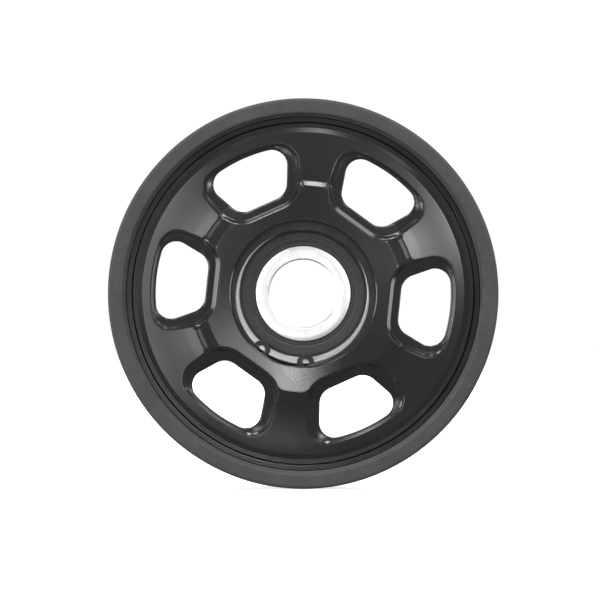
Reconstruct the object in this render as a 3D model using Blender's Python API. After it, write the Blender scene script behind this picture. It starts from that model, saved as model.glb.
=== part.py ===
"""Idler wheel of a rubber track: moulded disc, rubber tyre, sealed ball bearing and circlip.

The wheel turns about the Y axis, its centre is the origin, and its front faces -Y.
All dimensions below are millimetres; angles are degrees, counted as seen from the front,
from +X towards +Z. The bearing is the 25 x 52 x 15 mm size with nine balls.
"""

import math

import bmesh
import bpy
from mathutils import Matrix, Vector

MM = 0.001
TURN = 2 * math.pi
SEAM = 0.002
PIVOT_SIZE = 10
DISC_STEPS = 60
BEARING_STEPS = 48

# Wheel
WHEEL_RADIUS = 70.5
TYRE_HALF_WIDTH = 9.5
TYRE_BORE = 64.2
TYRE_MOUTH = 64.9
TYRE_MOUTH_DEPTH = 2.8
TYRE_LIP = 0.6
TYRE_EDGE = 1.2
KEY_RADIUS = 65.6
KEY_HALF_WIDTH = 3.0
MOULD_GAP = 0.3

# Disc: windows and spokes
SPOKES = 6
FIRST_SPOKE = 24.0
WINDOW_INNER = 35.1
WINDOW_OUTER = 53.45
SPOKE_HALF_WIDTH = 10.0
SPOKE_WIDTH_AT = 37.6
SPOKE_FLARE = 5.0
WINDOW_INNER_CORNER = 6.0
WINDOW_OUTER_CORNER = 5.5

# Disc: raised star plateau and the lower margin round each window
HUB_FRONT = -11.0
HUB_REAR = 11.0
BARREL_FRONT = -5.45
BARREL_REAR = 8.2
MARGIN_HUB_SIDE = 3.6
MARGIN_SPOKE_SIDE = 4.9
MARGIN_RIM_SIDE = 1.3
MARGIN_FLARE = 13.0
MARGIN_LEVEL_AT_HUB = -9.2
MARGIN_SLOPE = 0.143

# Disc: ribs on the back of each spoke
RIB_THICKNESS = 2.6
RIB_INSET = 1.9
RIB_INNER_RADIUS = 30.4
RIB_OUTER_RADIUS = 60.4
RIB_FOOT = -4.6
RIB_TOP = 5.6

# Bearing seat in the hub
SEAT_RADIUS = 26.2
SEAT_EDGE = 0.3
CLIP_GROOVE_RADIUS = 27.6
CLIP_GROOVE_FRONT = -8.85
CLIP_GROOVE_REAR = -6.45
SEAT_SHOULDER = 8.65
SEAT_SHOULDER_BORE = 23.6

# Circlip for a 52 mm bore
CLIP_OUTER = 27.3
CLIP_FRONT = -8.65
CLIP_THICKNESS = 2.0
CLIP_INNER_MEAN = 24.1
CLIP_OFFSET = 1.2
CLIP_GAP_ANGLE = 252.5
CLIP_LUG_ANGLE = 19.5
CLIP_LUG_HOLE_AT = 24.9
CLIP_LUG_RADIUS = 3.1
CLIP_HOLE_RADIUS = 1.25

# Bearing
BEARING_CENTRE = 1.0
BEARING_HALF_WIDTH = 7.5
BEARING_OUTER = 26.0
BEARING_BORE = 12.5
BALLS = 9
FIRST_BALL = 72.5
BALL_RADIUS = 3.969
PITCH_RADIUS = 19.25
RACE_RADIUS = 4.15
OUTER_LAND = 21.9
INNER_LAND = 17.175

# Ribbon cage
CAGE_INNER = 17.65
CAGE_OUTER = 20.85
CAGE_SHEET = 0.8
CAGE_HALF_GAP = 0.15
CAGE_POCKET = 4.3
RIVET_RADIUS = 0.75
RIVET_HOLE = 0.9
RIVET_HEAD_RADIUS = 1.3
RIVET_HEAD = 0.5
RIVET_PLAY = 0.1


# ---------------------------------------------------------------- helpers


def clear_scene():
    for obj in list(bpy.data.objects):
        bpy.data.objects.remove(obj, do_unlink=True)


def material(name, colour, roughness, metallic):
    made = bpy.data.materials.new(name)
    made.use_nodes = True
    shader = made.node_tree.nodes["Principled BSDF"]
    shader.inputs["Base Color"].default_value = (*colour, 1.0)
    shader.inputs["Roughness"].default_value = roughness
    shader.inputs["Metallic"].default_value = metallic
    made.diffuse_color = (*colour, 1.0)
    return made


def add_object(name, shape, finish=None, sharp_angle=35.0):
    """Link a bmesh in millimetres as an object in metres, with smooth shading and outward faces."""
    bmesh.ops.recalc_face_normals(shape, faces=shape.faces)
    bmesh.ops.scale(shape, vec=(MM, MM, MM), verts=shape.verts)
    mesh = bpy.data.meshes.new(name)
    shape.to_mesh(mesh)
    shape.free()
    mesh.shade_smooth()
    mesh.set_sharp_from_angle(angle=math.radians(sharp_angle))
    if finish:
        mesh.materials.append(finish)
    obj = bpy.data.objects.new(name, mesh)
    bpy.context.scene.collection.objects.link(obj)
    return obj


def polar(radius, degrees):
    """(x, z) at a radius and an angle, as seen from the front."""
    angle = math.radians(degrees)
    return radius * math.cos(angle), radius * math.sin(angle)


def arc(centre, radius, start, end, steps):
    """Points of an arc in a plane, angles in degrees, both ends included."""
    points = []
    for i in range(steps + 1):
        angle = math.radians(start + (end - start) * i / steps)
        points.append((centre[0] + radius * math.cos(angle), centre[1] + radius * math.sin(angle)))
    return points


def turned(profile, steps):
    """Solid of revolution about Y from the (radius, y) points round its section."""
    shape = bmesh.new()
    section = [shape.verts.new((radius, y, 0)) for radius, y in profile]
    rim = [shape.edges.new(pair) for pair in zip(section, section[1:] + section[:1])]
    bmesh.ops.spin(
        shape,
        geom=section + rim,
        cent=(0, 0, 0),
        axis=(0, 1, 0),
        angle=TURN,
        steps=steps,
    )
    bmesh.ops.remove_doubles(shape, verts=shape.verts, dist=SEAM)
    return shape


def add_prism(shape, outline, front, rear):
    """Add a prism along Y to a bmesh.

    outline is (x, z) points; front and rear are y, or functions of (x, z).
    """
    rings = []
    for level in (front, rear):
        height = level if callable(level) else (lambda x, z, y=level: y)
        rings.append([shape.verts.new((x, height(x, z), z)) for x, z in outline])
    near, far = rings
    count = len(outline)
    shape.faces.new(near)
    shape.faces.new(far[::-1])
    for i in range(count):
        j = (i + 1) % count
        shape.faces.new((near[j], near[i], far[i], far[j]))


def rotated(points, degrees):
    """The (x, z) points turned about the wheel's axis."""
    turn = Matrix.Rotation(math.radians(degrees), 2)
    return [tuple(turn @ Vector(point)) for point in points]


def boolean(obj, operation, other):
    other.hide_render = True
    other.display_type = "WIRE"
    modifier = obj.modifiers.new(other.name, "BOOLEAN")
    modifier.operation = operation
    modifier.object = other
    modifier.solver = "EXACT"


def pivot_empty(name):
    """Empty on the wheel's axis, for the pieces that turn together."""
    empty = bpy.data.objects.new(name, None)
    empty.empty_display_size = PIVOT_SIZE * MM
    bpy.context.scene.collection.objects.link(empty)
    return empty


# ---------------------------------------------------------------- windows


def window_outline(hub_margin=0.0, side_margin=0.0, rim_margin=0.0, flare=SPOKE_FLARE):
    """Outline of the window centred on +X: a chord, two flared sides and an arc, with round corners.

    A margin moves that edge outwards from the opening.
    """
    inner = WINDOW_INNER - hub_margin
    outer = WINDOW_OUTER + rim_margin
    half_sector = 180.0 / SPOKES
    lean = half_sector - flare
    on_side = Vector(rotated([(SPOKE_WIDTH_AT, side_margin - SPOKE_HALF_WIDTH)], half_sector)[0])
    along = Vector(polar(1.0, lean))
    inward = Vector(polar(1.0, lean - 90))

    radius = WINDOW_INNER_CORNER + hub_margin
    offset_line = on_side + inward * radius
    centre = offset_line + along * (inner + radius - offset_line.x) / along.x
    upper = arc(centre, radius, 180, 90 + lean, 4)

    radius = WINDOW_OUTER_CORNER + rim_margin
    offset_line = on_side + inward * radius
    nearest = offset_line.dot(along)
    reach = math.sqrt((outer - radius) ** 2 - offset_line.length_squared + nearest**2) - nearest
    centre = offset_line + along * reach
    rim_start = math.degrees(math.atan2(centre.y, centre.x))
    upper += arc(centre, radius, 90 + lean, rim_start, 4)
    upper += arc((0, 0), outer, rim_start, 0, 2)[1:]
    lower = [(x, -z) for x, z in reversed(upper[:-1])]
    return upper + lower


def window_angles():
    return [FIRST_SPOKE + (k + 0.5) * 360 / SPOKES for k in range(SPOKES)]


def spoke_angles():
    return [FIRST_SPOKE + k * 360 / SPOKES for k in range(SPOKES)]


# ---------------------------------------------------------------- disc


def disc_profile():
    """Section of the disc along a spoke, from the seat outwards over the front and back."""
    front = [
        (SEAT_RADIUS, HUB_FRONT + SEAT_EDGE),
        (SEAT_RADIUS + SEAT_EDGE, HUB_FRONT),
        (35.6, -10.5),
        (38.45, -9.81),
        (40.15, -8.59),
        (43.4, -8.14),
        (47.5, -7.75),
        (55.3, -7.14),
        (58.3, -6.9),
        (60.1, -6.13),
        (61.6, -6.17),
        (62.1, BARREL_FRONT),
    ]
    barrel = [
        (TYRE_BORE - MOULD_GAP, BARREL_FRONT),
        (TYRE_BORE - MOULD_GAP, -KEY_HALF_WIDTH),
        (KEY_RADIUS, -KEY_HALF_WIDTH),
        (KEY_RADIUS, KEY_HALF_WIDTH),
        (TYRE_BORE - MOULD_GAP, KEY_HALF_WIDTH),
        (TYRE_BORE - MOULD_GAP, BARREL_REAR),
    ]
    back = [
        (60.8, BARREL_REAR),
        (59.6, -1.4),
        (58.2, -2.8),
        (34.2, -5.8),
        (32.2, -4.4),
        (31.2, HUB_REAR - 0.6),
        (30.6, HUB_REAR),
    ]
    seat = [
        (SEAT_SHOULDER_BORE + 0.5, HUB_REAR),
        (SEAT_SHOULDER_BORE, HUB_REAR - 0.5),
        (SEAT_SHOULDER_BORE, SEAT_SHOULDER),
        (SEAT_RADIUS, SEAT_SHOULDER),
        (SEAT_RADIUS, CLIP_GROOVE_REAR),
        (CLIP_GROOVE_RADIUS, CLIP_GROOVE_REAR),
        (CLIP_GROOVE_RADIUS, CLIP_GROOVE_FRONT),
        (SEAT_RADIUS, CLIP_GROOVE_FRONT),
    ]
    return front + barrel + back + seat


def spoke_ribs():
    """Two ribs behind each spoke, one along each window side, from the hub sleeve to the barrel."""
    shape = bmesh.new()
    flare = math.tan(math.radians(SPOKE_FLARE))
    for angle in spoke_angles():
        for side in (-1, 1):
            outline = []
            for radius, offset in (
                (RIB_INNER_RADIUS, -RIB_THICKNESS / 2),
                (RIB_OUTER_RADIUS, -RIB_THICKNESS / 2),
                (RIB_OUTER_RADIUS, RIB_THICKNESS / 2),
                (RIB_INNER_RADIUS, RIB_THICKNESS / 2),
            ):
                centre = SPOKE_HALF_WIDTH - RIB_INSET + (radius - SPOKE_WIDTH_AT) * flare
                outline.append((radius, side * (centre + offset)))
            add_prism(shape, rotated(outline, angle), RIB_FOOT, RIB_TOP)
    return shape


def margin_pockets():
    """Cutters that lower the disc's face round each window to a sloping margin."""
    shape = bmesh.new()
    outline = window_outline(MARGIN_HUB_SIDE, MARGIN_SPOKE_SIDE, MARGIN_RIM_SIDE, MARGIN_FLARE)
    for angle in window_angles():
        direction = Vector(polar(1.0, angle))

        def floor(x, z, direction=direction):
            along = direction.x * x + direction.y * z
            return MARGIN_LEVEL_AT_HUB + (along - WINDOW_INNER) * MARGIN_SLOPE

        add_prism(shape, rotated(outline, angle), HUB_FRONT - 5, floor)
    return shape


def window_cutters():
    shape = bmesh.new()
    outline = window_outline()
    for angle in window_angles():
        add_prism(shape, rotated(outline, angle), HUB_FRONT - 9, HUB_REAR + 9)
    return shape


def make_disc(finish):
    disc = add_object("wheel_disc", turned(disc_profile(), DISC_STEPS), finish)
    boolean(disc, "UNION", add_object("spoke_rib_forms", spoke_ribs()))
    boolean(disc, "DIFFERENCE", add_object("margin_cutters", margin_pockets()))
    boolean(disc, "DIFFERENCE", add_object("window_cutters", window_cutters()))
    return disc


def make_tyre(finish):
    """Rubber band whose inner groove locks on the barrel's key."""
    half, bore, edge = TYRE_HALF_WIDTH, TYRE_BORE, TYRE_EDGE
    key = KEY_HALF_WIDTH + MOULD_GAP
    key_radius = KEY_RADIUS + MOULD_GAP
    corner = arc((WHEEL_RADIUS - edge, -half + edge), edge, -90, 0, 2)
    profile = [(TYRE_MOUTH + TYRE_LIP, -half)]
    profile += corner
    profile += [(radius, -y) for radius, y in reversed(corner)]
    profile += [(bore + TYRE_LIP, half), (bore, half - TYRE_LIP)]
    profile += [(bore, key), (key_radius, key), (key_radius, -key), (bore, -key)]
    profile += [(bore, -half + TYRE_MOUTH_DEPTH + TYRE_LIP), (TYRE_MOUTH, -half + TYRE_MOUTH_DEPTH)]
    profile += [(TYRE_MOUTH, -half + TYRE_LIP)]
    return add_object("tyre", turned(profile, DISC_STEPS), finish)


# ---------------------------------------------------------------- circlip


def clip_inner_radius(degrees):
    """Inner edge of the circlip: an off-centre circle, and the round lugs beside the gap."""
    from_gap = (degrees - CLIP_GAP_ANGLE + 180) % 360 - 180
    radius = CLIP_INNER_MEAN + CLIP_OFFSET * math.cos(math.radians(from_gap))
    swing = math.radians(abs(from_gap) - CLIP_LUG_ANGLE)
    across = CLIP_LUG_HOLE_AT * math.sin(swing)
    if abs(across) < CLIP_LUG_RADIUS:
        inward = math.sqrt(CLIP_LUG_RADIUS**2 - across**2)
        radius = min(radius, CLIP_LUG_HOLE_AT * math.cos(swing) - inward)
    return radius


def clip_outline():
    """Closed outline: the outer arc one way round, the inner edge back."""
    lug_half = math.degrees(math.asin(CLIP_LUG_RADIUS / CLIP_LUG_HOLE_AT)) - 0.02
    gap_half = CLIP_LUG_ANGLE - lug_half
    lug_end = CLIP_LUG_ANGLE + lug_half
    lug = [gap_half + 2 * lug_half * (1 - math.cos(math.pi * i / 10)) / 2 for i in range(11)]
    body_steps = 52
    body_start = lug_end + 0.1
    body = [body_start + (360 - 2 * body_start) * i / body_steps for i in range(body_steps + 1)]
    inner_angles = lug + body + [360 - angle for angle in reversed(lug)]
    outer_steps = 60
    outer_angles = [gap_half + (360 - 2 * gap_half) * i / outer_steps for i in range(outer_steps + 1)]
    outer = [polar(CLIP_OUTER, CLIP_GAP_ANGLE + angle) for angle in outer_angles]
    inner = []
    for angle in inner_angles:
        degrees = CLIP_GAP_ANGLE + angle
        inner.append(polar(clip_inner_radius(degrees), degrees))
    return outer + inner[::-1]


def make_circlip(finish):
    shape = bmesh.new()
    add_prism(shape, clip_outline(), CLIP_FRONT, CLIP_FRONT + CLIP_THICKNESS)
    holes = bmesh.new()
    for side in (-1, 1):
        centre = polar(CLIP_LUG_HOLE_AT, CLIP_GAP_ANGLE + side * CLIP_LUG_ANGLE)
        round_hole = arc(centre, CLIP_HOLE_RADIUS, 0, 330, 11)
        add_prism(holes, round_hole, CLIP_FRONT - 1, CLIP_FRONT + CLIP_THICKNESS + 1)
    circlip = add_object("circlip", shape, finish)
    boolean(circlip, "DIFFERENCE", add_object("plier_hole_cutters", holes))
    return circlip


# ---------------------------------------------------------------- bearing


def mirrored(points):
    """The points and then their mirror images about the mid plane, in reverse order."""
    return points + [(radius, -y) for radius, y in reversed(points) if y != 0]


def in_wheel(profile):
    """A profile drawn about the bearing's own centre, moved to its place along the wheel's axis."""
    return [(radius, y + BEARING_CENTRE) for radius, y in profile]


def race_arc(land, outward, steps=3):
    """Half a raceway, from its land to its deepest point on the mid plane, as (radius, y)."""
    start = math.degrees(math.asin(abs(land - PITCH_RADIUS) / RACE_RADIUS))
    points = []
    for i in range(steps):
        angle = math.radians(start + (90 - start) * i / steps)
        radius = PITCH_RADIUS + outward * RACE_RADIUS * math.sin(angle)
        points.append((radius, -RACE_RADIUS * math.cos(angle)))
    return points + [(PITCH_RADIUS + outward * RACE_RADIUS, 0)]


def make_outer_ring(finish):
    half = BEARING_HALF_WIDTH
    race = race_arc(OUTER_LAND, 1)
    bore = [
        (23.1, -half),
        (23.1, -half + 0.5),
        (23.65, -half + 0.75),
        (23.65, -half + 1.75),
        (OUTER_LAND, -half + 1.75),
    ] + race
    outside = [(BEARING_OUTER, half - 0.9), (BEARING_OUTER - 0.9, half)]
    profile = mirrored(bore)
    profile += [(radius, y) for radius, y in reversed(outside)]
    profile += [(radius, -y) for radius, y in outside]
    return add_object("bearing_outer_ring", turned(in_wheel(profile), BEARING_STEPS), finish)


def make_inner_ring(finish):
    half = BEARING_HALF_WIDTH
    race = race_arc(INNER_LAND, -1)
    outside = [
        (INNER_LAND - 0.3, -half),
        (INNER_LAND, -half + 0.3),
        (INNER_LAND, -half + 0.6),
        (16.7, -half + 0.85),
        (16.7, -half + 1.75),
        (INNER_LAND, -half + 2.0),
    ] + race
    bore = [(BEARING_BORE, half - 0.8), (BEARING_BORE + 0.8, half)]
    profile = mirrored(outside)
    profile += [(radius, y) for radius, y in reversed(bore)]
    profile += [(radius, -y) for radius, y in bore]
    return add_object("bearing_inner_ring", turned(in_wheel(profile), BEARING_STEPS), finish)


def make_seal(name, side, finish):
    """Moulded rubber seal: snap-in rim, flat band, groove and lip. side is -1 in front and 1 behind."""
    section = [
        (17.45, -7.0),
        (18.7, -6.85),
        (19.1, -7.15),
        (22.2, -7.15),
        (22.9, -6.85),
        (23.45, -6.5),
        (23.45, -5.95),
        (22.6, -5.95),
        (22.6, -6.55),
        (17.7, -6.55),
        (17.7, -6.0),
        (16.95, -6.0),
    ]
    profile = [(radius, -side * y) for radius, y in section]
    return add_object(name, turned(in_wheel(profile), BEARING_STEPS), finish)


def make_seal_insert(name, side, finish):
    """Sheet-steel washer that stiffens the seal."""
    section = [(17.85, -6.45), (22.45, -6.45), (22.45, -6.0), (17.85, -6.0)]
    profile = [(radius, -side * y) for radius, y in section]
    return add_object(name, turned(in_wheel(profile), BEARING_STEPS), finish)


def ball_angles():
    return [FIRST_BALL + k * 360 / BALLS for k in range(BALLS)]


def ball_centre(degrees):
    x, z = polar(PITCH_RADIUS, degrees)
    return (x, BEARING_CENTRE, z)


def ribbon_wave():
    """Section of one half cage over one ball, as the (reach, level) of each sheet face.

    Reach is along the pitch circle from the ball's centre, level is away from the mid plane.
    The sheet follows an arc over the ball and lies flat on both sides of it.
    """
    outer_pocket = CAGE_POCKET + CAGE_SHEET
    inner_flat = CAGE_HALF_GAP
    outer_flat = CAGE_HALF_GAP + CAGE_SHEET
    steps = 8
    wave = []
    for i in range(steps + 1):
        swing = math.pi * (i / steps)
        lean = -math.cos(swing)
        rise = math.sin(swing)
        reach_inner = CAGE_POCKET * lean
        reach_outer = outer_pocket * lean
        inner = max(inner_flat, CAGE_POCKET * rise)
        outer = max(outer_flat, outer_pocket * rise)
        wave.append(((reach_inner, inner), (reach_outer, outer)))
    return wave


def add_cage_section(shape, side, faces):
    """The four corners of the sheet's section. faces gives the (angle, level) of its two faces."""
    corners = []
    for angle, level in faces:
        for radius in (CAGE_INNER, CAGE_OUTER):
            x, z = polar(radius, angle)
            corners.append(shape.verts.new((x, BEARING_CENTRE + side * level, z)))
    first, second, third, fourth = corners
    return first, second, fourth, third


def make_cage_half(name, side, finish):
    shape = bmesh.new()
    sections = []
    for degrees in ball_angles():
        for faces in ribbon_wave():
            turned_faces = []
            for reach, level in faces:
                turned_faces.append((degrees + math.degrees(reach / PITCH_RADIUS), level))
            sections.append(add_cage_section(shape, side, turned_faces))
        between = degrees + 180 / BALLS
        flat = ((between, CAGE_HALF_GAP), (between, CAGE_HALF_GAP + CAGE_SHEET))
        sections.append(add_cage_section(shape, side, flat))
    for near, far in zip(sections, sections[1:] + sections[:1]):
        for i in range(4):
            j = (i + 1) % 4
            shape.faces.new((near[i], near[j], far[j], far[i]))
    half = add_object(name, shape, finish)
    boolean(half, "DIFFERENCE", add_object(name + "_hole_cutters", rivet_holes()))
    return half


def rivet_holes():
    shape = bmesh.new()
    for degrees in ball_angles():
        centre = polar(PITCH_RADIUS, degrees + 180 / BALLS)
        outline = arc(centre, RIVET_HOLE, 0, 315, 7)
        add_prism(shape, outline, BEARING_CENTRE - 3, BEARING_CENTRE + 3)
    return shape


def make_rivet(name, finish):
    """Rivet about its own centre: shank and two flat-topped heads, along Y."""
    seat = CAGE_HALF_GAP + CAGE_SHEET + RIVET_PLAY
    half = [
        (0.0, -seat - RIVET_HEAD),
        (RIVET_HEAD_RADIUS * 0.7, -seat - RIVET_HEAD),
        (RIVET_HEAD_RADIUS, -seat),
        (RIVET_RADIUS, -seat),
    ]
    shape = bmesh.new()
    profile = mirrored(half)
    section = [shape.verts.new((radius, y, 0)) for radius, y in profile]
    line = [shape.edges.new(pair) for pair in zip(section, section[1:])]
    bmesh.ops.spin(shape, geom=section + line, cent=(0, 0, 0), axis=(0, 1, 0), angle=TURN, steps=8)
    bmesh.ops.remove_doubles(shape, verts=shape.verts, dist=SEAM)
    return add_object(name, shape, finish)


def make_ball(name, finish):
    shape = bmesh.new()
    bmesh.ops.create_uvsphere(shape, u_segments=12, v_segments=8, radius=BALL_RADIUS)
    return add_object(name, shape, finish, sharp_angle=60.0)


def make_rolling_set(ball_steel, cage_steel):
    """Balls and riveted cage. The cage turns about the wheel's axis and each ball about its own centre."""
    cage_pivot = pivot_empty("cage_pivot")
    for name, side in (("cage_front", -1), ("cage_rear", 1)):
        make_cage_half(name, side, cage_steel).parent = cage_pivot
    for number, degrees in enumerate(ball_angles(), 1):
        ball = make_ball(f"ball_{number}", ball_steel)
        ball.parent = cage_pivot
        ball.location = Vector(ball_centre(degrees)) * MM
        rivet = make_rivet(f"cage_rivet_{number}", cage_steel)
        rivet.parent = cage_pivot
        rivet.location = Vector(ball_centre(degrees + 180 / BALLS)) * MM


# ---------------------------------------------------------------- assembly


def main():
    clear_scene()
    nylon = material("black_nylon", (0.018, 0.018, 0.02), 0.28, 0.0)
    rubber = material("tyre_rubber", (0.055, 0.055, 0.057), 0.85, 0.0)
    seal_rubber = material("seal_rubber", (0.04, 0.04, 0.042), 0.6, 0.0)
    ring_steel = material("ground_bearing_steel", (0.75, 0.75, 0.77), 0.22, 1.0)
    ball_steel = material("polished_ball_steel", (0.8, 0.8, 0.82), 0.08, 1.0)
    sheet_steel = material("pressed_sheet_steel", (0.55, 0.55, 0.56), 0.4, 1.0)
    clip_steel = material("phosphated_spring_steel", (0.06, 0.06, 0.065), 0.45, 0.7)

    wheel_pivot = pivot_empty("wheel_pivot")
    turning = [
        make_disc(nylon),
        make_tyre(rubber),
        make_circlip(clip_steel),
        make_outer_ring(ring_steel),
    ]
    for place, side in (("front", -1), ("rear", 1)):
        turning.append(make_seal(f"seal_{place}", side, seal_rubber))
        turning.append(make_seal_insert(f"seal_insert_{place}", side, sheet_steel))
    for obj in turning:
        obj.parent = wheel_pivot
    make_inner_ring(ring_steel)
    make_rolling_set(ball_steel, sheet_steel)


main()
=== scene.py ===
"""Looks of the track idler wheel: fine surfaces, materials, stage, lights and camera.

The wheel turns about the Y axis, its centre is the origin and its front faces -Y. Shapes are worked out
in millimetres, and angles in degrees as seen from the front, from +X towards +Z.
"""

import math

import bmesh
import bpy
import numpy as np
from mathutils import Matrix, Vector
from mathutils.geometry import delaunay_2d_cdt


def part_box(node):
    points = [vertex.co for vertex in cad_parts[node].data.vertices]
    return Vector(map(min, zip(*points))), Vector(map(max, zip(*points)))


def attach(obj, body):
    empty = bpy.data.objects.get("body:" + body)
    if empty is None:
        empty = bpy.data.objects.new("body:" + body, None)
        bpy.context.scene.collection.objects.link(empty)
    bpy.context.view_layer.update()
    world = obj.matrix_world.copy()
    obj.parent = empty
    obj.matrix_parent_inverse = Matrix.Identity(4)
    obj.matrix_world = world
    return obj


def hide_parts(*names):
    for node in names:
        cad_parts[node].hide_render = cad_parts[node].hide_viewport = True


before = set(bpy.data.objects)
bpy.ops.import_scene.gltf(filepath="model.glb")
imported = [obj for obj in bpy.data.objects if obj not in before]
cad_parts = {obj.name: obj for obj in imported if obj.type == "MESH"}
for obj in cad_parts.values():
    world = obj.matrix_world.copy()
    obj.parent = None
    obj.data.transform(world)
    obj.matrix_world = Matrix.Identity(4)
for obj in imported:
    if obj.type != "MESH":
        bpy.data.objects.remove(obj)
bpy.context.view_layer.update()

MM = 0.001
TURN = 2 * math.pi

# Fineness of the meshes
TURNED_STEPS = 360
ARC_SPACING = 0.45
FRONT_SPACING = 0.45
BACK_SPACING = 1.2
TYRE_SPACING = 1.2
MERGE = 0.002
SHARP_ANGLE = 38.0
NEAR_WINDOW = 2.0
CLEAR_OF_WINDOW = 0.3
CLEAR_OF_ROWS = 0.2
TINY = 0.01
WALL_ROWS = 3
ROUND_ROWS = 3


def reach(node):
    """Largest radius of a node about the wheel's axis."""
    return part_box(node)[1].x / MM


def ends(node):
    """Front and rear y of a node."""
    low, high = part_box(node)
    return low.y / MM, high.y / MM


WHEEL_RADIUS = reach("tyre")
TYRE_FRONT, TYRE_REAR = ends("tyre")
HUB_FRONT, HUB_REAR = ends("wheel_disc")
KEY_RADIUS = reach("wheel_disc")
RING_FRONT, RING_REAR = ends("bearing_inner_ring")
BEARING_CENTRE = (RING_FRONT + RING_REAR) / 2
BEARING_HALF_WIDTH = (RING_REAR - RING_FRONT) / 2
BEARING_OUTER = reach("bearing_outer_ring")
CLIP_FRONT, CLIP_REAR = ends("circlip")

# Disc: windows and spokes
SPOKES = 6
FIRST_SPOKE = 24.0
HALF_SECTOR = 180 // SPOKES
WINDOW_INNER = 35.1
WINDOW_OUTER = 53.45
SPOKE_HALF_WIDTH = 10.0
SPOKE_WIDTH_AT = 37.6
SPOKE_FLARE = 5.0
WINDOW_INNER_CORNER = 6.0
WINDOW_OUTER_CORNER = 5.5
FRONT_ROLL = 0.5
BACK_ROLL = 0.45

# Disc: star plateau and the sunken margin round each window
MARGIN_HUB_SIDE = 4.7
MARGIN_SPOKE_SIDE = 6.0
MARGIN_RIM_SIDE = 1.9
MARGIN_FLARE = 13.0
MARGIN_LEVELS = (
    (30.0, -9.55),
    (35.0, -9.2),
    (38.6, -8.6),
    (41.3, -7.75),
    (44.0, -7.4),
    (47.5, -7.0),
    (56.0, -6.1),
)
MARGIN_FALL = 0.25
SHOULDER_WIDTH = 2.1
RIM_SHOULDER_WIDTH = 1.3
SHOULDER_TOP = 0.4
SHOULDER_FOOT = 0.15

# Disc: seat and barrel
SEAT_RADIUS = 26.2
CLIP_GROOVE_RADIUS = 27.6
CLIP_GROOVE_FRONT = -8.85
CLIP_GROOVE_REAR = -6.45
SEAT_SHOULDER = 8.65
SEAT_SHOULDER_BORE = 23.6
SEAT_EDGE = 0.45
BARREL_RADIUS = 63.9
BARREL_FRONT = -4.7
BARREL_REAR = 8.2
KEY_HALF_WIDTH = 3.0

# Disc: ribs on the back
RIB_CENTRE = 7.9
RIB_HALF_THICKNESS = 1.2
RIB_TOP = 5.6
RIB_ROUND = 0.35
RIB_DRAFT = 0.02

# Tyre
TYRE_BORE = 64.2
TYRE_MOUTH = 64.9
TYRE_MOUTH_FLOOR = -6.7
TYRE_BOND_FRONT = -6.2
SEAM_HEIGHT = 0.12
SEAM_HALF_WIDTH = 0.3
MOULD_GAP = 0.3

# Circlip
CLIP_OUTER = 27.3
CLIP_INNER_MEAN = 24.1
CLIP_OFFSET = 1.2
CLIP_GAP_ANGLE = 252.5
CLIP_LUG_ANGLE = 19.5
CLIP_LUG_HOLE_AT = 24.9
CLIP_LUG_RADIUS = 3.1
CLIP_HOLE_RADIUS = 1.25
CLIP_EDGE = 0.18
CLIP_BORDER = 0.12

# Bearing
PITCH_RADIUS = 19.25
RACE_RADIUS = 4.15
OUTER_LAND = 21.9
INNER_LAND = 17.175
BEARING_BORE = 12.5
RING_STEP = 15.7
RING_STEP_DEPTH = 0.16

# Studio
LIGHT_DISTANCE = 1.5
FRONT_AMBIENT = 0.39
REAR_AMBIENT = 0.12
SURROUND_BLEND = 0.2
BACKDROP = 1.02
FLOOR_GAP = 0.0002

# Camera
CAMERA_LENS = 150.0
CAMERA_DISTANCE = 0.902
AIM_X = -1.155
AIM_Z = -2.31
AIM_DEPTH = 1.2


# ---------------------------------------------------------------- plane geometry


def polar(radius, degrees):
    """Point at a radius and an angle."""
    angle = math.radians(degrees)
    return radius * math.cos(angle), radius * math.sin(angle)


def rotated(points, degrees):
    """The points, turned about the origin."""
    cosine, sine = polar(1.0, degrees)
    return [(x * cosine - z * sine, x * sine + z * cosine) for x, z in points]


def arc(centre, radius, start, end, steps):
    """Points along an arc, both ends included."""
    points = []
    for i in range(steps + 1):
        x, z = polar(radius, start + (end - start) * i / steps)
        points.append((centre[0] + x, centre[1] + z))
    return points


def straight(start, end, steps):
    """Points from start to end, both included."""
    shares = np.linspace(0, 1, steps + 1)[:, None]
    return [tuple(p) for p in np.array(start) * (1 - shares) + np.array(end) * shares]


def rounded(corners, closed=False, step=11.0):
    """Points along a polyline of (a, b, radius) corners, each rounded by an arc of that radius."""
    count = len(corners)
    points = []
    for i, (a, b, radius) in enumerate(corners):
        here = Vector((a, b))
        if radius == 0 or (not closed and i in (0, count - 1)):
            points.append((a, b))
            continue
        back = Vector(corners[i - 1][:2]) - here
        ahead = Vector(corners[(i + 1) % count][:2]) - here
        turn = math.pi - back.angle(ahead)
        length = min(radius * math.tan(turn / 2), 0.49 * back.length, 0.49 * ahead.length)
        radius = length / math.tan(turn / 2)
        back.normalize()
        ahead.normalize()
        centre = here + (back + ahead).normalized() * (radius / math.cos(turn / 2))
        start = here + back * length - centre
        side = 1 if back.x * ahead.y - back.y * ahead.x < 0 else -1
        by_angle = math.ceil(math.degrees(turn) / step)
        by_length = math.ceil(radius * turn / ARC_SPACING)
        pieces = max(2, by_angle, by_length)
        for k in range(pieces + 1):
            x, z = rotated([tuple(start)], side * math.degrees(turn) * k / pieces)[0]
            points.append((centre.x + x, centre.y + z))
    return points


def densified(points, spacing):
    """The points, with more between them wherever two neighbours are further apart than spacing."""
    dense = [points[0]]
    for start, end in zip(points, points[1:]):
        pieces = max(1, math.ceil(math.dist(start, end) / spacing))
        dense += straight(start, end, pieces)[1:]
    return dense


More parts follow.
